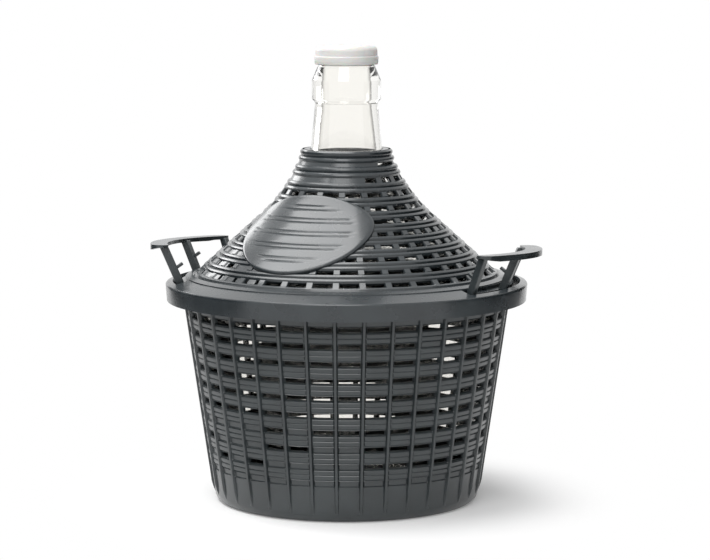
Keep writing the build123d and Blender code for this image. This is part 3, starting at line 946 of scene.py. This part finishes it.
# %% White for the rays that see the background
def seen_share(tree):
    """A socket that is 1 for camera, transmission and glossy rays and 0 for the rest."""
    rays = add(tree, "ShaderNodeLightPath")
    seen = add(tree, "ShaderNodeMath", {"operation": "MAXIMUM"}, _0=rays.outputs["Is Camera Ray"],
               _1=rays.outputs["Is Transmission Ray"])
    seen = add(tree, "ShaderNodeMath", {"operation": "MAXIMUM"}, _0=seen.outputs[0],
               _1=rays.outputs["Is Glossy Ray"])
    return seen.outputs[0]


def stage_piece(name, points, faces, material):
    """A part of the studio, from points in mm, that isn't part of the object."""
    mesh = bpy.data.meshes.new(name)
    mesh.from_pydata([(x * MM, y * MM, z * MM) for x, y, z in points], [], faces)
    piece = bpy.data.objects.new(name, mesh)
    piece.data.materials.append(material)
    bpy.context.scene.collection.objects.link(piece)
    print(name, "is part of the studio")
    return piece


# %% [markdown]
# The floor is white paper that glows for the rays above, all but a round patch under the object,
# where plain paper takes the object's shadow.  The patch fades out smoothly, so no edge shows.

# %% Floor
PATCH_FROM_MM, PATCH_TO_MM, PATCH_GLOW = 105, 210, 0.2
FLOOR_END, FLOOR_DROP = 8000, 0.05
floor_material, tree, output = new_material("studio_floor")
paper = add(tree, "ShaderNodeBsdfDiffuse", Color=linear("f4f4f4"))
glow = add(tree, "ShaderNodeEmission", Color=linear("ffffff"), Strength=1.0)
place = add(tree, "ShaderNodeTexCoord").outputs["Object"]
away = add(tree, "ShaderNodeVectorMath", {"operation": "LENGTH"}, _0=place)
fade = add(tree, "ShaderNodeMapRange", {"interpolation_type": "SMOOTHSTEP"}, Value=away.outputs["Value"],
           From_Min=PATCH_FROM_MM * MM, From_Max=PATCH_TO_MM * MM, To_Min=PATCH_GLOW, To_Max=1.0)
glowing = add(tree, "ShaderNodeMath", {"operation": "MULTIPLY"}, _0=seen_share(tree),
              _1=fade.outputs["Result"])
mixed = add(tree, "ShaderNodeMixShader", _0=glowing.outputs[0], _1=paper.outputs["BSDF"],
            _2=glow.outputs["Emission"])
tree.links.new(mixed.outputs["Shader"], output.inputs["Surface"])
points, faces = lathe([(0, -FLOOR_DROP), (FLOOR_END, -FLOOR_DROP)], 64)
stage_piece("studio_floor", points, faces, floor_material)

# %% Sky
SKY_LIGHT = 0.5
world = bpy.data.worlds.new("studio")
bpy.context.scene.world = world
world.use_nodes = True
tree = world.node_tree
tree.nodes.clear()
strength = add(tree, "ShaderNodeMapRange", Value=seen_share(tree), To_Min=SKY_LIGHT, To_Max=1.0)
sky = add(tree, "ShaderNodeBackground", Color=linear("ffffff"), Strength=strength.outputs["Result"])
add(tree, "ShaderNodeOutputWorld", Surface=sky.outputs["Background"])
print("the sky lights the object at", SKY_LIGHT)

# %% [markdown]
# A large soft lamp hangs high on the left and gives the top faces their sheen, a weak one fills the
# front and one behind lights the far edges.  Two dark flags stand beside the object, the usual way
# to light dark plastic, so that its sides turn dark before their bright rims.

# %% Lamps
VIEW_TURN = math.radians(17.25)
LAMP_AIM_Z = 150
right_way = Vector((math.cos(VIEW_TURN), math.sin(VIEW_TURN), 0))
front_way = Vector((math.sin(VIEW_TURN), -math.cos(VIEW_TURN), 0))


def softbox(name, right, front, up, size, watts):
    """A square lamp at a place in mm to the right, to the front and up, aimed at the object."""
    data = bpy.data.lights.new(name, "AREA")
    data.shape = "SQUARE"
    data.size = size * MM
    data.energy = watts
    lamp = bpy.data.objects.new(name, data)
    lamp.location = (right_way * right + front_way * front + Vector((0, 0, up))) * MM
    aim = Vector((0, 0, LAMP_AIM_Z * MM)) - lamp.location
    lamp.rotation_euler = aim.to_track_quat("-Z", "Y").to_euler()
    bpy.context.scene.collection.objects.link(lamp)
    print(name, watts, "W")


softbox("top_lamp", -420, 50, 1600, 1300, 29)
softbox("front_lamp", -300, 1600, 1500, 1200, 17)
softbox("back_lamp", -1250, -1300, 700, 900, 12)

# %% Flags
FLAG_SIDE, FLAG_FRONT, FLAG_BACK, FLAG_H = 600, 350, -1000, 420
flag_material, tree, output = new_material("black_felt")
felt = add(tree, "ShaderNodeBsdfDiffuse", Color=linear("101010"))
tree.links.new(felt.outputs["BSDF"], output.inputs["Surface"])
for name, side in (("flag_left", -1), ("flag_right", 1)):
    corners = [right_way * side * FLAG_SIDE + front_way * front + Vector((0, 0, z))
               for front, z in ((FLAG_FRONT, 0), (FLAG_BACK, 0), (FLAG_BACK, FLAG_H), (FLAG_FRONT, FLAG_H))]
    flag = stage_piece(name, corners, [(0, 1, 2, 3)], flag_material)
    flag.visible_camera = flag.visible_shadow = flag.visible_transmission = False

# %% [markdown]
# The camera stands far off with a long lens, as for a catalogue, so the ribs stay nearly upright
# and the rim looks only a little rounder than the foot.

# %% Camera
DISTANCE, HEIGHT = 1885.0, 386.2
TARGET_Z, TARGET_RIGHT = 155.2, 6.0
FOCAL_PX, IMAGE_W, SENSOR_MM = 2690.0, 710, 36.0
camera_data = bpy.data.cameras.new("camera")
camera_data.sensor_width = SENSOR_MM
camera_data.lens = FOCAL_PX / IMAGE_W * SENSOR_MM
camera = bpy.data.objects.new("camera", camera_data)
place = (front_way * DISTANCE + Vector((0, 0, HEIGHT))) * MM
target = (Vector((0, 0, TARGET_Z)) + right_way * TARGET_RIGHT) * MM
camera.location = place
camera.rotation_euler = (target - place).to_track_quat("-Z", "Y").to_euler()
bpy.context.scene.collection.objects.link(camera)
bpy.context.scene.camera = camera
bpy.context.scene.view_settings.view_transform = "Standard"
print("lens", round(camera_data.lens, 1), "mm")
